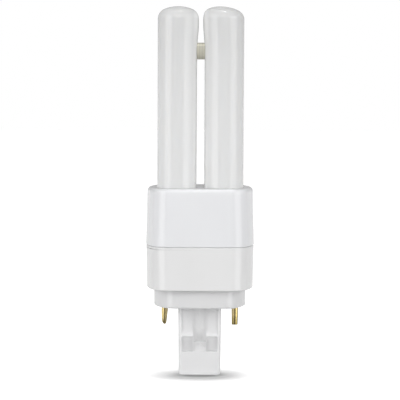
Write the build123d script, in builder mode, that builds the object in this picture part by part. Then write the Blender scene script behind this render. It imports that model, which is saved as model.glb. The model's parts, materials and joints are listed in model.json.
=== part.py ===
"""LED plug-in lamp: four opal tubes on a square housing, with a two-pin plug base.

Millimetres. The origin is the middle of the plug post's foot, +Z runs up to the tubes' domed ends and
the front is -Y.
"""

from build123d import *
import os
from math import sqrt

# Plug post
post_h = 22.55  # foot to collar
post_w = 14.2  # across the front, at the collar
post_d = 13.4  # front to back, at the collar
post_taper = 0.5  # how much narrower the foot is
post_corner_r = 1.4  # upright edges
post_foot_r = 0.9  # edges round the foot
post_wall = 1.5  # behind the deepest recess and under the hollow

# Latch channels and keyway on the post's front and back
channel_w = 3.6
channel_pitch = 8.1  # between the two channels' middles
channel_depth = 0.3
ramp_z = 14.9  # where a channel starts to curve out to its lip
lip_z = 13.35  # where the ramp reaches the post's face
notch_top_z = 12.75
notch_foot_z = 7.75
notch_depth = 1.6  # at its foot
notch_top_depth = 0.55
key_w = 4.0
key_side_depth = 0.5  # along the keyway's sides
key_ridge = 0.2  # how far the keyway's floor stands up along its middle, at the collar
key_sump = 0.35  # how far the floor's middle lies below its sides, at the wedge
key_apex_z = 11.0  # top of the wedge that closes the keyway
key_leg_z = 8.6  # where the wedge leaves the floor at the keyway's sides
key_dip = 0.8  # how much deeper the floor dips just above the wedge
key_dip_z = 15.2  # where it starts to dip

# Contact pins
pin_spacing = 23.0
pin_d = 2.15
pin_reach = 6.55  # below the collar
pin_nose = 1.7  # rounded end of the left pin
pin_nose_tip_r = 0.55
pin_cut_edge = 0.2  # bevel round the right pin's cut end
pin_shank_d = 2.7  # inside the collar's floor
pin_head_d = 3.8
pin_head_h = 0.8
pin_tail_h = 2.2  # solder tail above the head
pin_gap = 0.05  # round the shank

# Collar of the plug base
collar_h = 5.95
collar_margin = 3.6  # from a pin's axis to the collar's side
collar_corner_r = 5.0
collar_end_bow = 4.8  # how far the collar's left and right ends bow out
collar_foot_r = 0.6
collar_floor = 2.0
well_d = 10.0  # front to back of the hollow that the pins' heads lie in
well_gap = 0.2  # round the pins' heads
spigot_wall = 1.1  # rim that finds the hole in the lower shell
spigot_rise = 0.8  # above the lower shell's floor
spigot_gap = 0.15
oblong_corner_r = 3.0

# Housing shells
collar_step = 2.35  # how far the housing overhangs the collar
lower_shell_h = 14.1
lower_flare = 0.5  # how much wider the lower shell is at the seam
seam_gap = 0.05  # shadow line between the shells
seam_overhang = 0.3  # how much wider the upper shell is at the seam
seam_upper_r = 0.35  # edge of the upper shell along the seam
seam_lower_r = 0.2  # edge of the lower shell along the seam
rim_slot_drop = 0.85  # from the seam down to a fine slot round the front left of the lower shell
rim_slot_h = 0.2
rim_slot_in = 0.6  # its depth on the left side
rim_slot_turn = 1.0  # degrees, makes the slot fade out towards the middle of the front
upper_shell_h = 18.9
upper_draft = 1.1  # how much narrower the upper shell is at its top
housing_corner_r = 6.0
housing_end_bow = 4.0  # how far the housing's left and right ends bow out
side_bow = 0.5  # how far front and back bow out
shell_wall = 1.8
shell_floor = 1.6
shell_top = 1.6
upper_edge_r = 1.3
lower_edge_r = 0.4
lip_h = 2.2  # tongue of the lower shell inside the upper one
lip_t = 0.8
lip_gap = 0.1

# Tubes
tube_d = 12.8
tube_gap = 2.5  # between neighbouring tubes
tube_wall = 0.9
tube_reach = 58.95  # above the housing
dome_crown_r = 12.1
dome_knuckle_r = 3.5
head_swell = 0.6  # how far a tube's head stands further in than its stem
swell_h = 6.0  # height over which a tube swells, from the link's top up
socket_depth = 7.0
socket_gap = 0.1
socket_wall = 1.6
ledge_t = 1.2
ledge_lip = 0.4  # how far a socket's ledge reaches inside the tube's bore

# Links between the tubes
link_drop = 14.5  # from the domes' tops down to a link's middle
link_h = 5.4
link_d = 3.0
link_gap = 0.05

# LED strips and their junction board
strip_edge_gap = 1.8  # from a strip's edge to the tube's bore
strip_t = 1.0
strip_setback = 1.2  # from the tube's axis towards the lamp's middle
strip_headroom = 6.0  # under the domes' tops
strip_tail = 0.8  # below the junction board
led_w = 2.8
led_h = 3.5
led_t = 0.7
led_count = 9
led_margin = 4.0  # from the strip's lit ends to the first LED's middle
junction_t = 1.2
slot_gap = 0.1
board_gap = 2.2  # from a board's edge to the housing's wall
board_corner_r = 6.0

# Driver board and what stands on it
boss_h = 4.6
boss_d = 3.4
boss_inset_x = 5.0  # from the board's side to a boss
boss_inset_y = 2.4  # from the board's front or back to a boss
stake_d = 1.6
stake_rise = 0.8  # above the board
stake_gap = 0.15
board_t = 1.4
rectifier_size = (4.9, 4.0, 2.4)
rectifier_at = (0.0, -9.6)
bulk_can_d = 8.0
bulk_can_h = 12.5
bulk_can_at = (-6.4, -4.4)
output_can_d = 6.3
output_can_h = 10.5
output_can_at = (6.4, -5.6)
can_edge_r = 0.6
film_size = (7.0, 3.6, 6.5)
film_at = (-6.0, 3.6)
block_bevel = 0.3
chip_size = (5.0, 3.9, 1.5)
chip_at = (-4.4, 8.6)
choke_d = 7.6
choke_h = 8.6
choke_flange = 1.3
choke_neck_d = 3.6
choke_wire_gap = 0.3  # from the winding to the flanges' rims
choke_at = (5.4, 4.2)
fuse_d = 2.8
fuse_h = 8.0
fuse_at = (0.2, -2.6)
fuse_edge_r = 0.7
lead_d = 1.2
led_lead_x = 2.6
led_lead_y = 11.4

# Levels and sizes that follow
collar_w = pin_spacing + 2 * collar_margin
well_w = pin_spacing + pin_head_d + 2 * well_gap
lower_foot_w = collar_w + 2 * collar_step
lower_rim_w = lower_foot_w + lower_flare
upper_foot_w = lower_rim_w + seam_overhang
upper_top_w = upper_foot_w - upper_draft
collar_z = post_h
lower_z = collar_z + collar_h
floor_z = lower_z + shell_floor
seam_z = lower_z + lower_shell_h
upper_z = seam_z + seam_gap
top_z = upper_z + upper_shell_h
lip_top_z = seam_z + lip_h
dome_z = top_z + tube_reach
tube_foot_z = top_z - socket_depth
ledge_z = tube_foot_z - ledge_t
stem_r = tube_d / 2
bore_r = stem_r - tube_wall
tube_at = stem_r + tube_gap / 2
link_z = dome_z - link_drop
board_z = floor_z + boss_h
parts_z = board_z + board_t
board_w = lower_foot_w - 2 * shell_wall - 2 * board_gap
boss_x = board_w / 2 - boss_inset_x
boss_y = board_w / 2 - boss_inset_y
junction_z = ledge_z - junction_t
junction_w = upper_top_w - 2 * shell_wall - 2 * board_gap
strip_w = 2 * (bore_r - strip_edge_gap)
strip_foot_z = junction_z - strip_tail
strip_top_z = dome_z - strip_headroom
pin_tail_z = collar_z + collar_floor + pin_head_h + pin_tail_h

sides = {"left": -1, "right": 1}
rows = {"front": -1, "rear": 1}

os.makedirs("parts", exist_ok=True)


def save(piece, name):
    """Labels a finished piece and writes it to its own file."""
    piece.part.label = name
    export_step(piece.part, f"parts/{name}.step")


def bowed_square(width, corner_r, end_bow=housing_end_bow):
    """Gives a plan as deep as it is wide, with bowed sides and ends and round corners."""
    mid = width / 2
    end_x = mid - end_bow
    end_y = mid - side_bow
    with BuildSketch() as plan:
        with BuildLine():
            ThreePointArc((-end_x, -end_y), (0, -mid), (end_x, -end_y))
            ThreePointArc((end_x, -end_y), (mid, 0), (end_x, end_y))
            ThreePointArc((end_x, end_y), (0, mid), (-end_x, end_y))
            ThreePointArc((-end_x, end_y), (-mid, 0), (-end_x, -end_y))
        make_face()
        fillet(plan.vertices(), radius=corner_r)
    return plan.sketch


def tube_body(side, row, inset, foot_z):
    """Gives a tube's outer skin set in by some depth: stem, swollen head and flattened dome."""
    spot_y = row * tube_at
    stem_x = side * tube_at
    head_x = side * (tube_at - head_swell / 2)
    head_r = stem_r + head_swell / 2 - inset
    swell_foot_z = link_z + link_h / 2
    swell_top_z = swell_foot_z + swell_h
    top = dome_z - inset
    crown_r = dome_crown_r - inset
    knuckle_r = dome_knuckle_r - inset
    crown_z = top - crown_r
    knuckle_x = head_r - knuckle_r
    knuckle_z = crown_z + sqrt((crown_r - knuckle_r) ** 2 - knuckle_x**2)
    meet = crown_r / (crown_r - knuckle_r)
    meet_point = (knuckle_x * meet, crown_z + (knuckle_z - crown_z) * meet)
    with BuildPart() as body:
        with BuildSketch(Plane.XY.offset(foot_z)):
            with Locations((stem_x, spot_y)):
                Circle(stem_r - inset)
        extrude(amount=swell_foot_z - foot_z)
        with BuildSketch(Plane.XY.offset(swell_foot_z)):
            with Locations((stem_x, spot_y)):
                Circle(stem_r - inset)
        with BuildSketch(Plane.XY.offset(swell_top_z)):
            with Locations((head_x, spot_y)):
                Circle(head_r)
        loft()
        with BuildSketch(Plane((head_x, spot_y, 0), x_dir=(1, 0, 0), z_dir=(0, -1, 0))):
            with BuildLine():
                Polyline((0, top), (0, swell_top_z), (head_r, swell_top_z), (head_r, knuckle_z))
                TangentArc((head_r, knuckle_z), meet_point, tangent=(0, 1))
                TangentArc((0, top), meet_point, tangent=(1, 0))
            make_face()
        revolve(axis=Axis((head_x, spot_y, 0), (0, 0, 1)))
    return body.part


def strip_plane(side, row, level):
    """Gives the plane of a strip's section: local Y points outwards along the lamp's diagonal."""
    return Plane((side * tube_at, row * tube_at, level), x_dir=(row, -side, 0), z_dir=(0, 0, 1))


def post_face_y(level):
    """Gives where the post's tapered front face stands at a level."""
    return -(post_d - post_taper * (1 - level / post_h)) / 2


# Cutter for the latch channels and notches on the post's front and back
face_y = post_face_y(collar_z)
with BuildPart() as channels:
    for channel_x in (-channel_pitch / 2, channel_pitch / 2):
        with BuildSketch(Plane.YZ.offset(channel_x)):
            with BuildLine():
                ramp_top = (post_face_y(ramp_z) + channel_depth, ramp_z)
                ramp_end = (post_face_y(lip_z), lip_z)
                Polyline(
                    ramp_end,
                    (face_y, lip_z),
                    (face_y, collar_z),
                    (face_y + channel_depth, collar_z),
                    ramp_top,
                )
                TangentArc(ramp_top, ramp_end, tangent=(0, -1))
            make_face()
        extrude(amount=channel_w / 2, both=True)
        with BuildSketch(Plane.YZ.offset(channel_x)):
            with BuildLine():
                Polyline(
                    (face_y, notch_foot_z),
                    (face_y, notch_top_z),
                    (post_face_y(notch_top_z) + notch_top_depth, notch_top_z),
                    (post_face_y(notch_foot_z) + notch_depth, notch_foot_z),
                    close=True,
                )
            make_face()
        extrude(amount=channel_w / 2, both=True)
    mirror(about=Plane.XZ)

# Cutter for the keyway between the channels. Its floor is ridged at the collar and hollow at the lower
# end, where it dips and a wedge with a sloping ridge rises to the post's face.
key_apex_y = post_face_y(key_apex_z) + key_side_depth + key_sump
key_apex = Vector(0, key_apex_y, key_apex_z)
ridge_end = Vector(0, post_face_y(notch_foot_z), notch_foot_z)
leg_end = Vector(-key_w / 2, post_face_y(key_leg_z) + key_side_depth, key_leg_z)
flank = Plane(key_apex, x_dir=ridge_end - key_apex, z_dir=(leg_end - key_apex).cross(ridge_end - key_apex))
with BuildPart() as keyway:
    for level, middle_depth in ((notch_foot_z, key_sump), (collar_z, -key_ridge)):
        key_side_y = post_face_y(level) + key_side_depth
        with BuildSketch(Plane.XY.offset(level)):
            with BuildLine():
                Polyline(
                    (-key_w / 2, key_side_y),
                    (0, key_side_y + middle_depth),
                    (0, face_y),
                    (-key_w / 2, face_y),
                    close=True,
                )
            make_face()
    loft()
    split(bisect_by=flank, keep=Keep.TOP)
    mirror(about=Plane.YZ)
    with BuildSketch(Plane.YZ):
        with BuildLine():
            Polyline(
                (face_y, key_dip_z),
                (post_face_y(key_dip_z) + key_side_depth, key_dip_z),
                (key_apex_y + key_dip, key_apex_z),
                (face_y, key_apex_z),
                close=True,
            )
        make_face()
    extrude(amount=key_w / 2, both=True)
    mirror(about=Plane.XZ)

# Plug base: collar, post and the rim that finds the lower shell, in one moulding
pin_spots = [(side * pin_spacing / 2, 0) for side in sides.values()]
well_z = collar_z + collar_floor
spigot_top_z = floor_z + spigot_rise
spigot_w = well_w + 2 * spigot_wall
spigot_d = well_d + 2 * spigot_wall
hollow_w = post_w - post_taper - 2 * post_wall
hollow_d = post_d - post_taper - 2 * (key_side_depth + key_sump + key_dip + post_wall)
with BuildPart() as plug_base:
    with BuildSketch(Plane.XY.offset(collar_z)):
        add(bowed_square(collar_w, collar_corner_r, collar_end_bow))
    extrude(amount=collar_h)
    fillet(plug_base.edges().group_by(Axis.Z)[0], radius=collar_foot_r)
    for level, taper in ((0, post_taper), (collar_z, 0)):
        with BuildSketch(Plane.XY.offset(level)):
            RectangleRounded(post_w - taper, post_d - taper, post_corner_r)
    loft()
    fillet(plug_base.edges().group_by(Axis.Z)[0], radius=post_foot_r)
    add(channels.part, mode=Mode.SUBTRACT)
    add(keyway.part, mode=Mode.SUBTRACT)
    with BuildSketch(Plane.XY.offset(lower_z)):
        RectangleRounded(spigot_w, spigot_d, oblong_corner_r + spigot_wall)
    extrude(amount=spigot_top_z - lower_z)
    with BuildSketch(Plane.XY.offset(well_z)):
        RectangleRounded(well_w, well_d, oblong_corner_r)
    extrude(amount=spigot_top_z - well_z, mode=Mode.SUBTRACT)
    with BuildSketch(Plane.XY.offset(post_wall)):
        RectangleRounded(hollow_w, hollow_d, post_corner_r)
    extrude(amount=well_z - post_wall, mode=Mode.SUBTRACT)
    with BuildSketch(Plane.XY.offset(collar_z)):
        with Locations(*pin_spots):
            Circle(pin_shank_d / 2 + pin_gap)
    extrude(amount=collar_floor, mode=Mode.SUBTRACT)
save(plug_base, "plug_base")

# Contact pins: a shank in the collar's floor, a head above it and a tail for the lead.
# The left one ends in a pinched round nose, the right one is cut flat.
pin_tip_z = collar_z - pin_reach
pin_r = pin_d / 2
for name, side in sides.items():
    with BuildPart() as pin:
        with BuildSketch(Plane.XZ):
            with BuildLine():
                if name == "left":
                    nose_start = (pin_nose_tip_r, pin_tip_z)
                    nose_end = (pin_r, pin_tip_z + pin_nose)
                    TangentArc(nose_end, nose_start, tangent=(0, -1))
                else:
                    nose_start = (pin_r - pin_cut_edge, pin_tip_z)
                    nose_end = (pin_r, pin_tip_z + pin_cut_edge)
                    Line(nose_start, nose_end)
                Polyline(
                    nose_end,
                    (pin_r, collar_z),
                    (pin_shank_d / 2, collar_z),
                    (pin_shank_d / 2, well_z),
                    (pin_head_d / 2, well_z),
                    (pin_head_d / 2, well_z + pin_head_h),
                    (pin_r, well_z + pin_head_h),
                    (pin_r, pin_tail_z),
                    (0, pin_tail_z),
                    (0, pin_tip_z),
                    nose_start,
                )
            make_face()
        revolve(axis=Axis.Z)
    pin.part = Pos(side * pin_spacing / 2, 0, 0) * pin.part
    save(pin, f"{name}_contact_pin")

# Lower shell: an open box with a tongue round its rim and four bosses for the driver board. A fine slot
# below its rim fades out along the front.
boss_spots = [(side * boss_x, row * boss_y) for side in sides.values() for row in rows.values()]
inner_corner_r = housing_corner_r - shell_wall
lower_bore_w = lower_rim_w - 2 * shell_wall
with BuildPart() as rim_slot:
    with BuildSketch(Plane.XY.offset(seam_z - rim_slot_drop)):
        add(bowed_square(lower_rim_w + 2 * rim_slot_in, housing_corner_r))
        with Locations(Location((rim_slot_in, 0, 0), (0, 0, -rim_slot_turn))):
            add(bowed_square(lower_rim_w, housing_corner_r), mode=Mode.SUBTRACT)
    extrude(amount=rim_slot_h)
    split(bisect_by=Plane.YZ, keep=Keep.BOTTOM)
    split(bisect_by=Plane.XZ, keep=Keep.TOP)

with BuildPart() as lower_shell:
    for level, width in ((lower_z, lower_foot_w), (seam_z, lower_rim_w)):
        with BuildSketch(Plane.XY.offset(level)):
            add(bowed_square(width, housing_corner_r))
    loft()
    fillet(lower_shell.edges().group_by(Axis.Z)[0], radius=lower_edge_r)
    fillet(lower_shell.edges().group_by(Axis.Z)[-1], radius=seam_lower_r)
    add(rim_slot.part, mode=Mode.SUBTRACT)
    with BuildSketch(Plane.XY.offset(seam_z)):
        add(bowed_square(lower_bore_w + 2 * lip_t, inner_corner_r + lip_t))
    extrude(amount=lip_h)
    for level, width in ((floor_z, lower_foot_w - 2 * shell_wall), (lip_top_z, lower_bore_w)):
        with BuildSketch(Plane.XY.offset(level)):
            add(bowed_square(width, inner_corner_r))
    loft(mode=Mode.SUBTRACT)
    with BuildSketch(Plane.XY.offset(lower_z)):
        RectangleRounded(
            spigot_w + 2 * spigot_gap, spigot_d + 2 * spigot_gap, oblong_corner_r + spigot_wall + spigot_gap
        )
    extrude(amount=shell_floor, mode=Mode.SUBTRACT)
    with BuildSketch(Plane.XY.offset(floor_z)):
        with Locations(*boss_spots):
            Circle(boss_d / 2)
    extrude(amount=boss_h)
    with BuildSketch(Plane.XY.offset(board_z)):
        with Locations(*boss_spots):
            Circle(stake_d / 2)
    extrude(amount=board_t + stake_rise)
save(lower_shell, "lower_shell")

# Upper shell: a box that is open below, with a rebate for the tongue and four sockets for the tubes
tube_spots = [(side * tube_at, row * tube_at) for side in sides.values() for row in rows.values()]
socket_r = stem_r + socket_gap
upper_bore_w = upper_foot_w - 2 * shell_wall
with BuildPart() as upper_shell:
    for level, width in ((upper_z, upper_foot_w), (top_z, upper_top_w)):
        with BuildSketch(Plane.XY.offset(level)):
            add(bowed_square(width, housing_corner_r))
    loft()
    fillet(upper_shell.edges().group_by(Axis.Z)[-1], radius=upper_edge_r)
    fillet(upper_shell.edges().group_by(Axis.Z)[0], radius=seam_upper_r)
    for level, width in ((upper_z, upper_bore_w), (top_z - shell_top, upper_top_w - 2 * shell_wall)):
        with BuildSketch(Plane.XY.offset(level)):
            add(bowed_square(width, inner_corner_r))
    loft(mode=Mode.SUBTRACT)
    with BuildSketch(Plane.XY.offset(upper_z)):
        add(bowed_square(lower_bore_w + 2 * (lip_t + lip_gap), inner_corner_r + lip_t + lip_gap))
    extrude(amount=lip_top_z - upper_z, mode=Mode.SUBTRACT)
    with BuildSketch(Plane.XY.offset(ledge_z)):
        with Locations(*tube_spots):
            Circle(socket_r + socket_wall)
    extrude(amount=top_z - shell_top - ledge_z)
    with BuildSketch(Plane.XY.offset(tube_foot_z)):
        with Locations(*tube_spots):
            Circle(socket_r)
    extrude(amount=socket_depth, mode=Mode.SUBTRACT)
    with BuildSketch(Plane.XY.offset(ledge_z)):
        with Locations(*tube_spots):
            Circle(bore_r - ledge_lip)
    extrude(amount=ledge_t, mode=Mode.SUBTRACT)
save(upper_shell, "upper_shell")

# Tubes with the LED strip and the row of LEDs inside each
strip_face = strip_t / 2 - strip_setback
lit_foot_z = top_z + led_margin
lit_top_z = strip_top_z - led_margin
led_pitch = (lit_top_z - lit_foot_z) / (led_count - 1)
for row_name, row in rows.items():
    for side_name, side in sides.items():
        spot_name = f"{row_name}_{side_name}"
        with BuildPart() as tube:
            add(tube_body(side, row, 0, tube_foot_z))
            add(tube_body(side, row, tube_wall, tube_foot_z), mode=Mode.SUBTRACT)
        save(tube, f"{spot_name}_tube")

        with BuildPart() as strip:
            with BuildSketch(strip_plane(side, row, strip_foot_z)):
                with Locations((0, -strip_setback)):
                    Rectangle(strip_w, strip_t)
            extrude(amount=strip_top_z - strip_foot_z)
        save(strip, f"{spot_name}_led_strip")

        outwards = strip_plane(side, row, (lit_foot_z + lit_top_z) / 2)
        face = Plane(outwards.from_local_coords((0, strip_face, 0)), (-row, side, 0), (side, row, 0))
        with BuildPart() as leds:
            with BuildSketch(face):
                with GridLocations(led_w, led_pitch, 1, led_count):
                    Rectangle(led_w, led_h)
            extrude(amount=led_t)
        save(leds, f"{spot_name}_leds")

    # The link between this row's two tubes, hollowed at its ends to sit against them
    with BuildPart() as link:
        with BuildSketch(Plane.YZ.offset(-tube_at)):
            with Locations((row * tube_at, link_z)):
                Ellipse(link_d / 2, link_h / 2)
        extrude(amount=2 * tube_at)
        for side in sides.values():
            add(tube_body(side, row, -link_gap, tube_foot_z), mode=Mode.SUBTRACT)
    save(link, f"{row_name}_tube_link")

# Junction board under the sockets, with a slot for each strip
with BuildPart() as junction_board:
    with BuildSketch(Plane.XY.offset(junction_z)):
        RectangleRounded(junction_w, junction_w, board_corner_r)
    extrude(amount=junction_t)
    for side in sides.values():
        for row in rows.values():
            with BuildSketch(strip_plane(side, row, junction_z)):
                with Locations((0, -strip_setback)):
                    Rectangle(strip_w + 2 * slot_gap, strip_t + 2 * slot_gap)
            extrude(amount=junction_t, mode=Mode.SUBTRACT)
save(junction_board, "junction_board")

# Driver board on the lower shell's bosses
with BuildPart() as driver_board:
    with BuildSketch(Plane.XY.offset(board_z)):
        RectangleRounded(board_w, board_w, board_corner_r)
        with Locations(*boss_spots):
            Circle(stake_d / 2 + stake_gap, mode=Mode.SUBTRACT)
    extrude(amount=board_t)
save(driver_board, "driver_board")

# Round parts that stand on the driver board
round_parts = {
    "bulk_capacitor": (bulk_can_at, bulk_can_d, bulk_can_h, can_edge_r),
    "output_capacitor": (output_can_at, output_can_d, output_can_h, can_edge_r),
    "fuse_resistor": (fuse_at, fuse_d, fuse_h, fuse_edge_r),
}
for name, (spot, diameter, height, edge_r) in round_parts.items():
    with BuildPart() as can:
        with BuildSketch(Plane.XY.offset(parts_z)):
            with Locations(spot):
                Circle(diameter / 2)
        extrude(amount=height)
        fillet(can.edges().group_by(Axis.Z)[-1], radius=edge_r)
    save(can, name)

# Square parts that lie on the driver board
square_parts = {
    "bridge_rectifier": (rectifier_at, rectifier_size),
    "film_capacitor": (film_at, film_size),
    "driver_chip": (chip_at, chip_size),
}
for name, (spot, size) in square_parts.items():
    with BuildPart() as block:
        with BuildSketch(Plane.XY.offset(parts_z)):
            with Locations(spot):
                Rectangle(size[0], size[1])
        extrude(amount=size[2])
        chamfer(block.edges().group_by(Axis.Z)[-1], length=block_bevel)
    save(block, name)

# Choke: a drum core with its winding between the flanges
choke_levels = (
    (0, choke_flange, choke_d),
    (choke_flange, choke_h - 2 * choke_flange, choke_neck_d),
    (choke_h - choke_flange, choke_flange, choke_d),
)
with BuildPart() as choke_core:
    for rise, height, diameter in choke_levels:
        with BuildSketch(Plane.XY.offset(parts_z + rise)):
            with Locations(choke_at):
                Circle(diameter / 2)
        extrude(amount=height)
save(choke_core, "choke_core")

with BuildPart() as choke_winding:
    with BuildSketch(Plane.XY.offset(parts_z + choke_flange)):
        with Locations(choke_at):
            Circle(choke_d / 2 - choke_wire_gap)
            Circle(choke_neck_d / 2, mode=Mode.SUBTRACT)
    extrude(amount=choke_h - 2 * choke_flange)
save(choke_winding, "choke_winding")

# Leads: from the pins' tails up to the driver board, and from there up to the junction board
leads = {
    "left_pin_lead": (pin_spots[0], pin_tail_z, board_z),
    "right_pin_lead": (pin_spots[1], pin_tail_z, board_z),
    "positive_led_lead": ((-led_lead_x, led_lead_y), parts_z, junction_z),
    "negative_led_lead": ((led_lead_x, led_lead_y), parts_z, junction_z),
}
for name, (spot, low_z, high_z) in leads.items():
    with BuildPart() as lead:
        with BuildSketch(Plane.XY.offset(low_z)):
            with Locations(spot):
                Circle(lead_d / 2)
        extrude(amount=high_z - low_z)
    save(lead, name)
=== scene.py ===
"""Dresses and lights the LED plug-in lamp: four opal tubes on a square housing with a two-pin plug base.

Metres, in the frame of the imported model: the plug post's foot stands at the origin, +Z runs up to the
tubes' domed ends and the front is -Y.
"""

from __future__ import annotations

import json
import logging
import math
from dataclasses import dataclass
from enum import Enum
from typing import Any

import bpy
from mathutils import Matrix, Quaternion, Vector

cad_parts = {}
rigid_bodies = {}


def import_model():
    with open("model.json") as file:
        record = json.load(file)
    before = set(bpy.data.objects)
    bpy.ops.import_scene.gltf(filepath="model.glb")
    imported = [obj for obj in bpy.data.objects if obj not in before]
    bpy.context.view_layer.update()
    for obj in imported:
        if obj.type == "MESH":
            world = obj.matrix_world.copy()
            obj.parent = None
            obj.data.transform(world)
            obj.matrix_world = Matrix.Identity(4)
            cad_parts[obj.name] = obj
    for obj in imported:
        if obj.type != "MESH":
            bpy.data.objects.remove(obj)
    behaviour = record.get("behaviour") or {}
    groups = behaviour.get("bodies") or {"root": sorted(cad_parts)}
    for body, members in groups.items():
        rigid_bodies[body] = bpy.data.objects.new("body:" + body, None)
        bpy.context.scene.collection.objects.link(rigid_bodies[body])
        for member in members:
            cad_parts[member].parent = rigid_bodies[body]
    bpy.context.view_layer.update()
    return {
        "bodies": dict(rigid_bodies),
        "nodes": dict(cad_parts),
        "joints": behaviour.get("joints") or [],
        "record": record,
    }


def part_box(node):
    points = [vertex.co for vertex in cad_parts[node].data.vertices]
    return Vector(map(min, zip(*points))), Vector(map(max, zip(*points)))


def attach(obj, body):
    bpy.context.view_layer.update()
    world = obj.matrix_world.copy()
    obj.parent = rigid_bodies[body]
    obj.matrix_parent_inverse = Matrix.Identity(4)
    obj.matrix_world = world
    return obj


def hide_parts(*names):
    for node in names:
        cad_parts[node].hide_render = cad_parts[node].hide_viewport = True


LOG = logging.getLogger("plug_in_lamp")
BODY = "root"
MM = 0.001
SMOOTH_ANGLE = math.radians(40.0)
NOISE_LOW, NOISE_HIGH = 0.3, 0.7

Colour = tuple[float, float, float]
Place = tuple[float, float, float]
Span = tuple[float, float]
Stops = tuple[Span, ...]
Socket = bpy.types.NodeSocket
Nodes = dict[str, bpy.types.Object]


class Row(Enum):
    """The two pairs of tubes, with their sign along Y."""

    FRONT = "front"
    REAR = "rear"

    @property
    def sign(self) -> int:
        """Gives -1 for the front and 1 for the rear."""
        return -1 if self is Row.FRONT else 1


class Side(Enum):
    """The two sides of the lamp, with their sign along X."""

    LEFT = "left"
    RIGHT = "right"

    @property
    def sign(self) -> int:
        """Gives -1 for the left and 1 for the right."""
        return -1 if self is Side.LEFT else 1


def grey(level: float) -> Colour:
    """Gives a grey of one level."""
    return (level, level, level)


def tint(colour: Colour, factor: float) -> Colour:
    """Gives a linear colour made lighter or darker by a factor."""
    return tuple(min(1.0, channel * factor) for channel in colour)


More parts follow.
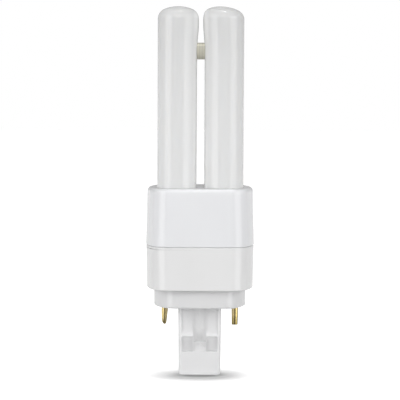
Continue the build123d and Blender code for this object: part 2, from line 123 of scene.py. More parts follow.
class Desk:
    """One node tree, with short calls to add nodes to it."""

    def __init__(self, block: bpy.types.Material | bpy.types.World) -> None:
        """Opens an empty tree.

        Args:
            block: the material or the world that the tree belongs to.
        """
        self.block = block
        self.block.use_nodes = True
        self.tree = self.block.node_tree
        self.tree.nodes.clear()

    @classmethod
    def for_material(cls, name: str) -> Desk:
        """Opens the tree of a new material with that name."""
        return cls(bpy.data.materials.new(name))

    def node(self, kind: str, sockets: dict[str | int, Any] | None = None, **settings: Any) -> bpy.types.Node:
        """Adds a node.

        Args:
            kind: the node's type, without its ShaderNode prefix.
            sockets: a value or a source socket for each input, by name or number.
            settings: the node's own properties.

        Returns:
            The new node.
        """
        made = self.tree.nodes.new("ShaderNode" + kind)
        for key, value in settings.items():
            setattr(made, key, value)
        for key, value in (sockets or {}).items():
            if isinstance(value, Socket):
                self.tree.links.new(value, made.inputs[key])
            else:
                made.inputs[key].default_value = value
        return made

    def place(self, stretch: Place = (1.0, 1.0, 1.0), shift: Place = (0.0, 0.0, 0.0)) -> Socket:
        """Gives Object coordinates, scaled along the axes and then shifted."""
        source = self.node("TexCoord").outputs["Object"]
        return self.node("Mapping", {"Vector": source, "Scale": stretch, "Location": shift}).outputs["Vector"]

    def along(self, axis: str) -> Socket:
        """Gives the Object coordinate along X, Y or Z, in metres."""
        return self.node("SeparateXYZ", {0: self.place()}).outputs[axis]

    def distance(self, stretch: Place, shift: Place) -> Socket:
        """Gives the distance from the origin of scaled and shifted Object coordinates."""
        return self.node("VectorMath", {0: self.place(stretch, shift)}, operation="LENGTH").outputs["Value"]

    def noise(self, scale: float, stretch: Place = (1.0, 1.0, 1.0)) -> Socket:
        """Adds noise of so many waves per metre, mostly between NOISE_LOW and NOISE_HIGH."""
        sockets = {"Vector": self.place(stretch), "Scale": scale, "Detail": 3.0, "Roughness": 0.55}
        return self.node("TexNoise", sockets).outputs["Fac"]

    def sum_up(self, operation: str, *terms: Any) -> Socket:
        """Works out one step of a formula, from values or source sockets."""
        return self.node("Math", dict(enumerate(terms)), operation=operation).outputs["Value"]

    def spread(self, source: Socket, low: float | Socket, high: float | Socket,
               start: float = NOISE_LOW, end: float = NOISE_HIGH) -> Socket:
        """Maps a source to low where it is at start, and to high where it is at end."""
        sockets = {"Value": source, "From Min": start, "From Max": end, "To Min": low, "To Max": high}
        return self.node("MapRange", sockets).outputs["Result"]

    def ramp(self, source: Socket, *stops: tuple[float, Colour]) -> Socket:
        """Colours a pattern.

        Args:
            source: the pattern's value.
            stops: places from 0 to 1, each with its colour.

        Returns:
            The colour socket.
        """
        made = self.node("ValToRGB", {"Fac": source})
        elements = made.color_ramp.elements
        while len(elements) < len(stops):
            elements.new(0.5)
        for element, (spot, colour) in zip(elements, stops):
            element.position = spot
            element.color = (*colour, 1.0)
        return made.outputs["Color"]

    def levels(self, source: Socket, stops: Stops) -> Socket:
        """Maps a source through stops, places from 0 to 1 with a grey level each."""
        return self.ramp(source, *((spot, grey(level)) for spot, level in stops))

    def dapple(self, source: Socket, colour: Colour, depth: float) -> Socket:
        """Takes a share of a colour off, the depth, where a noise is low."""
        return self.ramp(source, (NOISE_LOW, tint(colour, 1.0 - depth)), (NOISE_HIGH, colour))

    def blend(self, part: Any, first: Any, second: Any, kind: str = "MIX") -> Socket:
        """Blends two colours.

        Args:
            part: how much of the second is used, from 0 to 1.
            first: the first colour or its socket.
            second: the second colour or its socket.
            kind: the blend type.

        Returns:
            The colour socket.
        """
        pair = [value if isinstance(value, Socket) else (*value, 1.0) for value in (first, second)]
        sockets = {"Fac": part, "Color1": pair[0], "Color2": pair[1]}
        return self.node("MixRGB", sockets, blend_type=kind).outputs["Color"]

    def tone(self, colour: Socket, stops: Stops, axis: str = "Z") -> Socket:
        """Paints light or shade into a colour along an axis.

        Args:
            colour: the colour socket.
            stops: places in metres, in rising order, each with what the colour is multiplied by.
            axis: X, Y or Z.

        Returns:
            The colour socket.
        """
        if not stops:
            return colour
        low, high = stops[0][0], stops[-1][0]
        rise = self.spread(self.along(axis), 0.0, 1.0, low, high)
        factors = self.levels(rise, tuple(((spot - low) / (high - low), factor) for spot, factor in stops))
        return self.blend(1.0, colour, factors, "MULTIPLY")

    def bump(self, source: Socket, depth: float) -> Socket:
        """Turns a height from 0 to 1 into relief of a depth in metres."""
        sockets = {"Height": source, "Distance": depth, "Strength": 1.0}
        return self.node("Bump", sockets).outputs["Normal"]

    def shade(self, sockets: dict[str, Any]) -> bpy.types.Material:
        """Closes the tree with one principled surface.

        Args:
            sockets: values or sources for the surface's inputs.

        Returns:
            The finished material.
        """
        surface = self.node("BsdfPrincipled", sockets)
        self.node("OutputMaterial", {"Surface": surface.outputs["BSDF"]})
        return self.block


@dataclass(frozen=True)
class Finish:
    """A finish: its material's name, and what its surface is made of."""

    name: str

    def surface(self, desk: Desk) -> dict[str, Any]:
        """Gives values or sources for the surface's inputs, by their names."""
        raise NotImplementedError

    def material(self) -> bpy.types.Material:
        """Builds the material."""
        desk = Desk.for_material(self.name)
        return desk.shade(self.surface(desk))


@dataclass(frozen=True)
class MouldedFinish(Finish):
    """Moulded plastic with a fine satin grain and faint flow marks, and light and shade painted along its
    height where stops are given.
    """

    colour: Colour
    roughness: float = 0.11
    rough_spread: Span = (-0.03, 0.04)
    specular: float = 0.5
    mottle: float = 0.02
    flow_scale: float = 70.0
    flow_stretch: Place = (1.0, 1.0, 0.45)
    grain_scale: float = 2600.0
    grain_depth: float = 0.003 * MM
    # Painted light and shade: heights in metres, each with a factor for the colour.
    painted_shading: Stops = ()

    def detail(self, desk: Desk, colour: Socket) -> Socket:
        """Leaves a plain moulding's colour as it is."""
        return colour

    def surface(self, desk: Desk) -> dict[str, Any]:
        """Gives what goes into the surface's inputs.

        Args:
            desk: the material's tree.

        Returns:
            Values or sources, by the inputs' names.
        """
        flow = desk.noise(self.flow_scale, self.flow_stretch)
        grain = desk.noise(self.grain_scale)
        with_painted_shading = desk.tone(desk.dapple(flow, self.colour, self.mottle), self.painted_shading)
        return {
            "Base Color": self.detail(desk, with_painted_shading),
            "Roughness": desk.spread(flow, *(self.roughness + step for step in self.rough_spread)),
            "Specular IOR Level": self.specular,
            "Normal": desk.bump(grain, self.grain_depth),
        }


@dataclass(frozen=True)
class RibbedFinish(MouldedFinish):
    """Moulded plastic with fine upright lines, side by side along X."""

    rib_pitch: float = 0.85 * MM
    rib_depth: float = 0.12
    rib_wave: Span = (-1.0, 0.4)

    def detail(self, desk: Desk, colour: Socket) -> Socket:
        """Darkens the lines."""
        wave = desk.sum_up("COSINE", desk.sum_up("MULTIPLY", desk.along("X"), math.tau / self.rib_pitch))
        return desk.blend(desk.spread(wave, self.rib_depth, 0.0, *self.rib_wave), colour, grey(0.0))


@dataclass(frozen=True)
class PostFinish(MouldedFinish):
    """Moulded plastic of the plug base, with light and shade painted along its height, in the post's keyway
    and in the notches beside it.
    """

    # Painted light on the foot's bottom edge and on the post just under the collar; painted shade on the
    # post's lower block and on the collar.
    painted_shading: Stops = (
        (0.0, 1.2), (0.0003, 1.2), (0.0005, 0.93), (0.0016, 0.94), (0.0075, 0.96), (0.0086, 0.93),
        (0.0112, 0.91), (0.0118, 0.95), (0.0127, 0.99), (0.016, 1.02), (0.0215, 1.08), (0.0232, 0.89),
        (0.028, 0.91))
    # Painted shade in the keyway's pocket above and below its wedge, with a painted highlight along the
    # wedge's top edge.
    keyway: Stops = (
        (0.008, 1.0), (0.0091, 0.96), (0.0097, 0.91), (0.0102, 0.89), (0.0107, 0.94), (0.011, 0.98),
        (0.01102, 1.06), (0.0114, 1.0), (0.012, 0.91), (0.0126, 0.88), (0.0133, 0.91), (0.0142, 0.96),
        (0.0152, 0.94), (0.0165, 0.95), (0.018, 1.0))
    # Painted light along the keyway's sides just above the wedge, with slight painted shade below it.
    keyway_side_shading: Stops = (
        (0.009, 1.0), (0.0095, 0.96), (0.0107, 0.95), (0.011, 0.98), (0.01102, 1.12), (0.012, 1.06),
        (0.0128, 1.02), (0.014, 1.0))
    keyway_floor: Span = (0.7 * MM, 1.6 * MM)
    keyway_edge: Span = (1.9 * MM, 2.1 * MM)
    # Painted light at the foot of the notches and a painted highlight along the lip above them, with painted
    # shade towards their top.
    notch_shading: Stops = (
        (0.0076, 1.0), (0.0077, 1.06), (0.008, 1.06), (0.0087, 1.04), (0.0093, 1.02), (0.0106, 0.99),
        (0.0121, 0.965), (0.0124, 0.965), (0.0126, 1.2), (0.0128, 1.16), (0.0131, 1.05), (0.0134, 1.0))
    notch_span: Span = (2.3 * MM, 6.1 * MM)
    notch_edge: float = 0.1 * MM

    def detail(self, desk: Desk, colour: Socket) -> Socket:
        """Paints light and shade into the keyway's floor and sides, and into the notches.

        Args:
            desk: the material's tree.
            colour: the colour socket.

        Returns:
            The colour socket.
        """
        off_middle = desk.sum_up("ABSOLUTE", desk.along("X"))
        floor = desk.spread(off_middle, 1.0, 0.0, *self.keyway_floor)
        inside = desk.spread(off_middle, 1.0, 0.0, *self.keyway_edge)
        keyway_shaded = desk.blend(floor, desk.tone(colour, self.keyway_side_shading), desk.tone(colour, self.keyway))
        with_keyway_shading = desk.blend(inside, colour, keyway_shaded)
        near, far = self.notch_span
        past_keyway = desk.spread(off_middle, 0.0, 1.0, near, near + self.notch_edge)
        short_of_rim = desk.spread(off_middle, 1.0, 0.0, far - self.notch_edge, far)
        beside = desk.sum_up("MULTIPLY", past_keyway, short_of_rim)
        return desk.blend(beside, with_keyway_shading, desk.tone(with_keyway_shading, self.notch_shading))


@dataclass(frozen=True)
class OpalFinish(Finish):
    """Opal diffuser tube: milky, with faint lengthwise lines, painted light and a painted glow where two
    tubes face each other, and painted light and shade along its height.
    """

    colour: Colour
    roughness: float = 0.06
    rough_spread: Span = (-0.02, 0.02)
    specular: float = 0.5
    line_scale: float = 900.0
    line_stretch: Place = (1.0, 1.0, 0.02)
    line_depth: float = 0.0015 * MM
    cloud_scale: float = 90.0
    cloud_stretch: Place = (1.0, 1.0, 0.5)
    mottle: float = 0.015
    milk: float = 0.3
    milk_depth: float = 3.0 * MM
    milk_reach: Colour = (1.0, 0.95, 0.85)
    # Painted light: where two tubes face each other the colour is lifted by glow within the reach, and a
    # painted glow is added there.
    glow: float = 1.13
    painted_light_reach: Span = (1.4 * MM, 2.6 * MM)
    painted_glow: float = 0.085
    # Painted light at the foot and painted shade towards the dome, with painted light on the dome's crown.
    painted_shading: Stops = (
        (0.0615, 1.03), (0.075, 1.01), (0.088, 0.99), (0.1, 0.96), (0.112, 0.92), (0.1165, 0.905),
        (0.1183, 0.92), (0.1195, 0.985), (0.1201, 1.08), (0.1205, 1.13))

    def surface(self, desk: Desk) -> dict[str, Any]:
        """Gives what goes into the surface's inputs.

        Args:
            desk: the material's tree.

        Returns:
            Values or sources, by the inputs' names.
        """
        lines = desk.noise(self.line_scale, self.line_stretch)
        cloud = desk.noise(self.cloud_scale, self.cloud_stretch)
        inner = desk.spread(desk.sum_up("ABSOLUTE", desk.along("X")), 1.0, 0.0, *self.painted_light_reach)
        milky = desk.dapple(cloud, self.colour, self.mottle)
        # Painted light: the colour is lifted where the tube faces its neighbour.
        lit = desk.blend(inner, milky, desk.blend(1.0, milky, grey(self.glow), "MULTIPLY"))
        return {
            "Base Color": desk.tone(lit, self.painted_shading),
            "Roughness": desk.spread(lines, *(self.roughness + step for step in self.rough_spread)),
            "Specular IOR Level": self.specular,
            # Painted glow: the tube gives off a little light where it faces its neighbour.
            "Emission Color": milky,
            "Emission Strength": desk.spread(inner, 0.0, self.painted_glow, 0.0, 1.0),
            "Subsurface Weight": self.milk,
            "Subsurface Radius": self.milk_reach,
            "Subsurface Scale": self.milk_depth,
            "Normal": desk.bump(lines, self.line_depth),
        }


@dataclass(frozen=True)
class BrassFinish(Finish):
    """Drawn brass with fine lines along its length and a little tarnish, with painted reflections as upright
    light and dark stripes and painted shade towards its tip.
    """

    # Painted reflections: upright light and dark stripes across the pin, by position along X.
    painted_reflection_stripes: Stops
    colour: Colour = (0.82, 0.67, 0.35)
    tarnish: Colour = (0.6, 0.47, 0.16)
    roughness: float = 0.2
    rough_spread: Span = (-0.05, 0.07)
    line_scale: float = 5200.0
    line_stretch: Place = (1.0, 1.0, 0.03)
    line_depth: float = 0.002 * MM
    stain_scale: float = 620.0
    stain_stretch: Place = (1.0, 1.0, 0.4)
    stain_range: Span = (0.34, 0.6)
    # Painted shade darkens the free end towards its tip.
    painted_shading: Stops = ((0.0163, 0.55), (0.0176, 0.7), (0.0192, 1.0))

    def surface(self, desk: Desk) -> dict[str, Any]:
        """Gives what goes into the surface's inputs.

        Args:
            desk: the material's tree.

        Returns:
            Values or sources, by the inputs' names.
        """
        lines = desk.noise(self.line_scale, self.line_stretch)
        stain = desk.noise(self.stain_scale, self.stain_stretch)
        stained = desk.ramp(stain, *zip(self.stain_range, (self.tarnish, self.colour)))
        return {
            "Base Color": desk.tone(desk.tone(stained, self.painted_reflection_stripes, "X"), self.painted_shading),
            "Metallic": 1.0,
            "Roughness": desk.spread(lines, *(self.roughness + step for step in self.rough_spread)),
            "Normal": desk.bump(lines, self.line_depth),
        }


@dataclass(frozen=True)
class BoardFinish(Finish):
    """Circuit board: solder mask over copper tracks, with tinned spots where the tracks widen."""

    mask: Colour
    track: Colour
    pad: Colour = (0.62, 0.62, 0.6)
    pad_metal: float = 0.9
    pad_edge: Span = (0.13, 0.15)
    track_scale: float = 330.0
    track_wander: float = 0.55
    track_edge: Span = (0.06, 0.09)
    track_height: float = 0.03 * MM
    weave_scale: float = 2400.0
    mottle: float = 0.1
    roughness: Span = (0.28, 0.4)

    def surface(self, desk: Desk) -> dict[str, Any]:
        """Gives what goes into the surface's inputs.

        Args:
            desk: the material's tree.

        Returns:
            Values or sources, by the inputs' names.
        """
        vein = {"Vector": desk.place(), "Scale": self.track_scale, "Randomness": self.track_wander}
        edge = desk.node("TexVoronoi", vein, feature="DISTANCE_TO_EDGE").outputs["Distance"]
        spot = desk.node("TexVoronoi", vein, feature="F1").outputs["Distance"]
        raised = desk.spread(edge, 1.0, 0.0, *self.track_edge)
        tinned = desk.spread(spot, 1.0, 0.0, *self.pad_edge)
        weave = desk.noise(self.weave_scale)
        mask = desk.dapple(weave, self.mask, self.mottle)
        return {
            "Base Color": desk.blend(tinned, desk.blend(raised, mask, self.track), self.pad),
            "Metallic": desk.spread(tinned, 0.0, self.pad_metal, 0.0, 1.0),
            "Roughness": desk.spread(weave, *self.roughness),
            "Normal": desk.bump(raised, self.track_height),
        }


@dataclass(frozen=True)
class ChipFinish(Finish):
    """Row of light chips: phosphor in the middle of each white package, along Z."""

    phosphor: Colour
    package: Colour
    first: float
    pitch: float
    window: float = 1.15 * MM
    window_edge: float = 0.05 * MM
    grit_scale: float = 5200.0
    grit_depth: float = 0.01 * MM
    mottle: float = 0.15
    roughness: Span = (0.3, 0.45)

    def surface(self, desk: Desk) -> dict[str, Any]:
        """Gives what goes into the surface's inputs.

        Args:
            desk: the material's tree.

        Returns:
            Values or sources, by the inputs' names.
        """
        lift = desk.sum_up("SUBTRACT", desk.along("Z"), self.first - self.pitch / 2)
        step = desk.sum_up("SUBTRACT", desk.sum_up("FLOORED_MODULO", lift, self.pitch), self.pitch / 2)
        off_middle = desk.sum_up("ABSOLUTE", step)
        frame = desk.spread(off_middle, 0.0, 1.0, self.window, self.window + self.window_edge)
        grit = desk.noise(self.grit_scale)
        glow = desk.dapple(grit, self.phosphor, self.mottle)
        return {
            "Base Color": desk.blend(frame, glow, self.package),
            "Roughness": desk.spread(frame, *self.roughness, 0.0, 1.0),
            "Normal": desk.bump(grit, self.grit_depth),
        }


@dataclass(frozen=True)
class SleeveFinish(Finish):
    """Shrink sleeve of a capacitor: dark, with a pale stripe down its left and a bare metal top."""

    box: tuple[Vector, Vector]
    colour: Colour = (0.012, 0.014, 0.03)
    stripe: Colour = (0.5, 0.5, 0.52)
    stripe_start: float = 0.86
    lid: Colour = (0.72, 0.72, 0.73)
    lid_share: float = 0.8
    lid_height: float = 0.05 * MM
    crease_scale: float = 900.0
    crease_stretch: Place = (1.0, 1.0, 0.3)
    crease_depth: float = 0.02 * MM
    mottle: float = 0.2
    roughness: Span = (0.22, 0.36)

    def surface(self, desk: Desk) -> dict[str, Any]:
        """Gives what goes into the surface's inputs.

        Args:
            desk: the material's tree.

        Returns:
            Values or sources, by the inputs' names.
        """
        low, high = self.box
        radius = (high.x - low.x) / 2
        middle = (low + high) / 2
        off_axis = desk.distance((1.0, 1.0, 0.0), (-middle.x, -middle.y, 0.0))
        within_rim = desk.sum_up("LESS_THAN", off_axis, radius * self.lid_share)
        at_top = desk.sum_up("GREATER_THAN", desk.along("Z"), high.z - self.lid_height)
        bare = desk.sum_up("MULTIPLY", within_rim, at_top)
        left = desk.sum_up("LESS_THAN", desk.along("X"), middle.x - radius * self.stripe_start)
        crease = desk.noise(self.crease_scale, self.crease_stretch)
        sleeve = desk.dapple(crease, self.colour, self.mottle)
        return {
            "Base Color": desk.blend(bare, desk.blend(left, sleeve, self.stripe), self.lid),
            "Metallic": bare,
            "Roughness": desk.spread(crease, *self.roughness),
            "Normal": desk.bump(crease, self.crease_depth),
        }


@dataclass(frozen=True)
class WindingFinish(Finish):
    """Enamelled copper wire, wound in close turns round Z, with painted shade in the gaps between the turns.
    """

    colour: Colour
    turns: float = 420.0
    wander: float = 0.4
    wire_range: Span = (0.1, 0.6)
    wire_depth: float = 0.08 * MM
    # Painted shade: the share of the colour left in the gaps between turns.
    painted_gap_shade: float = 0.35
    metal: float = 0.85
    roughness: Span = (0.45, 0.25)

    def surface(self, desk: Desk) -> dict[str, Any]:
        """Gives what goes into the surface's inputs.

        Args:
            desk: the material's tree.

        Returns:
            Values or sources, by the inputs' names.
        """
        lay = {"Vector": desk.place(), "Scale": self.turns, "Distortion": self.wander, "Detail": 1.0}
        turn = desk.node("TexWave", lay, bands_direction="Z").outputs["Fac"]
        wire = desk.ramp(turn, *zip(self.wire_range, (tint(self.colour, self.painted_gap_shade), self.colour)))
        return {
            "Base Color": wire,
            "Metallic": self.metal,
            "Roughness": desk.spread(turn, *self.roughness),
            "Normal": desk.bump(turn, self.wire_depth),
        }


@dataclass(frozen=True)
class BandedFinish(Finish):
    """Coated resistor with colour bands round it, read upwards."""

    coat: Colour
    bands: tuple[Colour, ...]
    start: float
    pitch: float
    width: float = 0.7 * MM
    flow_scale: float = 700.0
    flow_depth: float = 0.04 * MM
    mottle: float = 0.12
    roughness: Span = (0.25, 0.4)

    def surface(self, desk: Desk) -> dict[str, Any]:
        """Gives what goes into the surface's inputs.

        Args:
            desk: the material's tree.

        Returns:
            Values or sources, by the inputs' names.
        """
        flow = desk.noise(self.flow_scale)
        colour = desk.dapple(flow, self.coat, self.mottle)
        for index, band in enumerate(self.bands):
            middle = self.start + index * self.pitch
            inside = desk.sum_up("COMPARE", desk.along("Z"), middle, self.width / 2)
            colour = desk.blend(inside, colour, band)
        return {
            "Base Color": colour,
            "Roughness": desk.spread(flow, *self.roughness),
            "Normal": desk.bump(flow, self.flow_depth),
        }


def dress(nodes: Nodes, names: list[str], finish: Finish) -> None:
    """Gives CAD nodes a finish.

    Args:
        nodes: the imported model's objects by name.
        names: the nodes to dress.
        finish: the finish.
    """
    material = finish.material()
    for name in names:
        piece = nodes[name]
        piece.data.materials.clear()
        piece.data.materials.append(material)
        LOG.info("%s dressed with %s", name, finish.name)


def hand_over(piece: bpy.types.Object, node: str, material: bpy.types.Material) -> None:
    """Puts a finished piece in a CAD node's place.

    Args:
        piece: the piece.
        node: the CAD node that it replaces.
        material: the piece's finish.
    """
    bpy.ops.object.shade_smooth_by_angle(angle=SMOOTH_ANGLE)
    piece.data.materials.append(material)
    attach(piece, BODY)
    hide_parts(node)
    LOG.info("%s modelled in place of %s", piece.name, node)


@dataclass(frozen=True)
class Ring:
    """One cross-section of a skin: its middle and its half sizes along the axes."""

    middle: Vector
    size: Vector


class Bench:
    """One skin on the bench, drawn out of a circle ring by ring in edit mode."""

    def __init__(self, name: str, start: Ring, segments: int, filled: bool = False) -> None:
        """Lays the first ring.

        Args:
            name: the piece's name.
            start: the first ring.
            segments: points round a ring.
            filled: whether the skin's ends are closed with a face.
        """
        bpy.ops.object.select_all(action="DESELECT")
        bpy.ops.mesh.primitive_circle_add(
            vertices=segments, radius=1.0, fill_type="NGON" if filled else "NOTHING")
        self.piece = bpy.context.active_object
        self.piece.name = name
        bpy.ops.object.transform_apply(location=True, rotation=True, scale=True)
        bpy.ops.object.mode_set(mode="EDIT")
        bpy.ops.mesh.select_all(action="SELECT")
        bpy.ops.transform.resize(value=start.size, center_override=(0.0, 0.0, 0.0))
        bpy.ops.transform.translate(value=start.middle)
        self.last = start

    def draw(self, *rings: Ring) -> None:
        """Draws the open end on through further rings.

        Args:
            rings: the rings, in order.
        """
        for ring in rings:
            bpy.ops.mesh.extrude_region_move(TRANSFORM_OT_translate={"value": ring.middle - self.last.middle})
            growth = [new / old for new, old in zip(ring.size, self.last.size)]
            bpy.ops.transform.resize(value=growth, center_override=ring.middle)
            self.last = ring

    def close(self, tip: Vector) -> None:
        """Draws the open end to a point."""
        bpy.ops.mesh.extrude_region_move(TRANSFORM_OT_translate={"value": tip - self.last.middle})
        bpy.ops.mesh.merge(type="CENTER")

    def take(self) -> bpy.types.Object:
        """Turns the faces outwards and takes the skin off the bench.

        Returns:
            The piece.
        """
        bpy.ops.mesh.select_all(action="SELECT")
        bpy.ops.mesh.normals_make_consistent(inside=False)
        bpy.ops.object.mode_set(mode="OBJECT")
        return self.piece


@dataclass(frozen=True)
class TubeSkin:
    """One opal tube: a straight stem, a head that swells towards its neighbour and a flattened dome."""

    row: Row
    side: Side
    lean: float = 0.0
    stem_r: float = 6.4 * MM
    spot: float = 7.65 * MM
    wall: float = 0.9 * MM
    swell: float = 0.55 * MM
    swell_drop: float = 14.5 * MM
    swell_rise: float = 9.5 * MM
    crown_r: float = 12.1 * MM
    knuckle_r: float = 3.5 * MM
    segments: int = 96
    steps: int = 10

    @property
    def node(self) -> str:
        """Gives the name of the CAD node."""
        return f"{self.row.value}_{self.side.value}_tube"

    def ring(self, level: float, radius: float, swollen: float, crown: float) -> Ring:
        """Gives one ring.

        Args:
            level: its height.
            radius: its radius.
            swollen: how much of the swell it has, from 0 to 1.
            crown: how far up the dome it is, from 0 to 1.

        Returns:
            The ring.
        """
        inward = self.swell / 2 * swollen + self.lean * crown ** 2
        middle = Vector((self.side.sign * (self.spot - inward), self.row.sign * self.spot, level))
        return Ring(middle, Vector((radius, radius, 1.0)))

    def rings(self, foot: float, top: float) -> list[Ring]:
        """Works the skin's rings out, from the foot up to the crown.

        Args:
            foot: the height of the tube's foot.
            top: the height of the dome's top.

        Returns:
            The rings.
        """
        reach = self.stem_r + self.swell / 2 - self.knuckle_r
        knuckle_z = top - self.crown_r + math.sqrt((self.crown_r - self.knuckle_r) ** 2 - reach ** 2)
        turn = math.asin(reach / (self.crown_r - self.knuckle_r))
        shares = [step / self.steps for step in range(self.steps + 1)]
        made = [self.ring(foot, self.stem_r, 0.0, 0.0)]
        for share in shares:
            ease = share * share * (3 - 2 * share)
            level = top - self.swell_drop + self.swell_rise * share
            made.append(self.ring(level, self.stem_r + self.swell / 2 * ease, ease, 0.0))
        dome: list[Span] = []
        for share in shares:
            angle = (math.pi / 2 - turn) * share
            level = knuckle_z + self.knuckle_r * math.sin(angle)
            dome.append((level, reach + self.knuckle_r * math.cos(angle)))
        for share in shares[1:-1]:
            angle = turn * (1 - share)
            level = top - self.crown_r * (1 - math.cos(angle))
            dome.append((level, self.crown_r * math.sin(angle)))
        for level, radius in dome:
            made.append(self.ring(level, radius, 1.0, (level - knuckle_z) / (top - knuckle_z)))
        return made

    def build(self, material: bpy.types.Material) -> None:
        """Models the tube and puts it in its node's place.

        Args:
            material: the tube's finish.
        """
        low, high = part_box(self.node)
        rings = self.rings(low[2], high[2])
        bench = Bench(f"{self.node}_skin", rings[0], self.segments)
        bench.draw(*rings[1:])
        bench.close(Vector((rings[-1].middle.x, rings[-1].middle.y, high[2])))
        piece = bench.take()
        wall = piece.modifiers.new("wall", "SOLIDIFY")
        wall.thickness = self.wall
        wall.offset = -1.0
        bpy.ops.object.modifier_apply(modifier=wall.name)
        hand_over(piece, self.node, material)


@dataclass(frozen=True)
class PinSkin:
    """One brass contact pin: tail, head and shank in the base, and a free end that draws in below it.

    Its sizes are in millimetres. A ring of an end is its height, its step off the pin's axis along X and
    its radius.
    """

    side: Side
    finish: BrassFinish
    free_end: tuple[Place, ...]
    tip: float | None = None
    axis: float = 11.5
    inner_end: tuple[Place, ...] = (
        (27.55, 0.0, 1.075), (25.35, 0.0, 1.075), (25.35, 0.0, 1.9), (24.55, 0.0, 1.9), (24.55, 0.0, 1.35),
        (22.55, 0.0, 1.35))
    segments: int = 48

    @property
    def node(self) -> str:
        """Gives the name of the CAD node."""
        return f"{self.side.value}_contact_pin"

    def ring(self, level: float, step: float, radius: float) -> Ring:
        """Gives the ring at a height, with its step off the axis and its radius."""
        middle = Vector((self.side.sign * self.axis + step, 0.0, level)) * MM
        return Ring(middle, Vector((radius * MM, radius * MM, 1.0)))

    def build(self) -> None:
        """Models the pin from its tail down and puts it in its node's place."""
        rings = [self.ring(*values) for values in self.inner_end + self.free_end]
        bench = Bench(f"{self.node}_skin", rings[0], self.segments, filled=True)
        bench.draw(*rings[1:])
        if self.tip is not None:
            bench.close(self.ring(self.tip, self.free_end[-1][1], 0.0).middle)
        hand_over(bench.take(), self.node, self.finish.material())


@dataclass(frozen=True)
class TubeBundle:
    """Four opal tubes in two rows, the link that joins each row, and the LED strips inside."""

    lean: float = 1.2 * MM
    opal: OpalFinish = OpalFinish("opal_tube", (0.787, 0.787, 0.78))
    link: RibbedFinish = RibbedFinish(
        "cream_link", (0.665, 0.645, 0.54), roughness=0.3,
        # Painted shade darker towards the link's foot, a painted highlight near its top and a painted shade
        # line along its top edge.
        painted_shading=((0.1035, 0.8), (0.1045, 0.87), (0.106, 0.94), (0.1068, 0.95), (0.1072, 0.93), (0.1075, 0.95),
               (0.1077, 1.24), (0.108, 1.36), (0.1085, 0.9)))
    board: BoardFinish = BoardFinish("white_board", (0.8, 0.8, 0.77), (0.7, 0.7, 0.66))
    chips: ChipFinish = ChipFinish(
        "led_yellow", (0.85, 0.62, 0.1), (0.82, 0.82, 0.8), first=65.55 * MM, pitch=5.619 * MM)

    def build(self) -> None:
        """Models the tubes, of which only the front right one leans inwards at its dome."""
        opal = self.opal.material()
        for row in Row:
            for side in Side:
                leans = row is Row.FRONT and side is Side.RIGHT
                TubeSkin(row, side, lean=self.lean if leans else 0.0).build(opal)

    def dress(self, nodes: Nodes) -> None:
        """Dresses the links, the strips with the board that they are soldered into, and the chips.

        Args:
            nodes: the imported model's objects by name.
        """
        corners = [f"{row.value}_{side.value}" for row in Row for side in Side]
        dress(nodes, [f"{row.value}_tube_link" for row in Row], self.link)
        dress(nodes, [*(f"{corner}_led_strip" for corner in corners), "junction_board"], self.board)
        dress(nodes, [f"{corner}_leds" for corner in corners], self.chips)


@dataclass(frozen=True)
class Housing:
    """The housing's two white shells."""

    upper: MouldedFinish = MouldedFinish(
        "upper_white", (0.82, 0.825, 0.842), roughness=0.13,
        # Painted highlight along the rounded top edge, and painted shade on the top face.
        painted_shading=((0.0595, 0.99), (0.0608, 1.03), (0.0613, 1.03), (0.06145, 0.87), (0.0616, 0.86)))
    lower: MouldedFinish = MouldedFinish("lower_white", (0.802, 0.802, 0.802), roughness=0.13)

    def dress(self, nodes: Nodes) -> None:
        """Dresses the shells."""
        dress(nodes, ["upper_shell"], self.upper)
        dress(nodes, ["lower_shell"], self.lower)


@dataclass(frozen=True)
class PlugBase:
    """Collar and plug post in one moulding, and the two brass pins beside the post."""

    moulding: PostFinish = PostFinish("base_white", (0.82, 0.82, 0.825))
    left_pin: PinSkin = PinSkin(
        Side.LEFT,
        # Painted reflections for the left pin: a bright stripe on its outer side and a dark line beside it.
        BrassFinish("left_pin_brass", (
            (-0.0126, 0.66), (-0.01235, 0.9), (-0.01222, 0.95), (-0.01195, 0.66), (-0.0115, 1.05),
            (-0.0108, 0.7))),
        free_end=(
            (22.55, -0.02, 1.08), (20.85, -0.03, 1.07), (19.5, -0.1, 0.985), (18.2, -0.155, 0.875),
            (17.5, -0.17, 0.81), (16.87, -0.14, 0.71), (16.5, -0.11, 0.6), (16.2, -0.08, 0.35)),
        tip=16.0)
    right_pin: PinSkin = PinSkin(
        Side.RIGHT,
        # Painted reflections for the right pin: a bright stripe on its outer side and a dark line beside it.
        BrassFinish("right_pin_brass", (
            (0.0105, 1.0), (0.0112, 1.05), (0.0117, 1.0), (0.0122, 0.88), (0.01245, 0.6))),
        free_end=((22.55, 0.08, 1.11), (19.0, 0.08, 1.07), (16.0, 0.06, 0.99)))

    def build(self) -> None:
        """Models the pins."""
        self.left_pin.build()
        self.right_pin.build()

    def dress(self, nodes: Nodes) -> None:
        """Dresses the moulding."""
        dress(nodes, ["plug_base"], self.moulding)


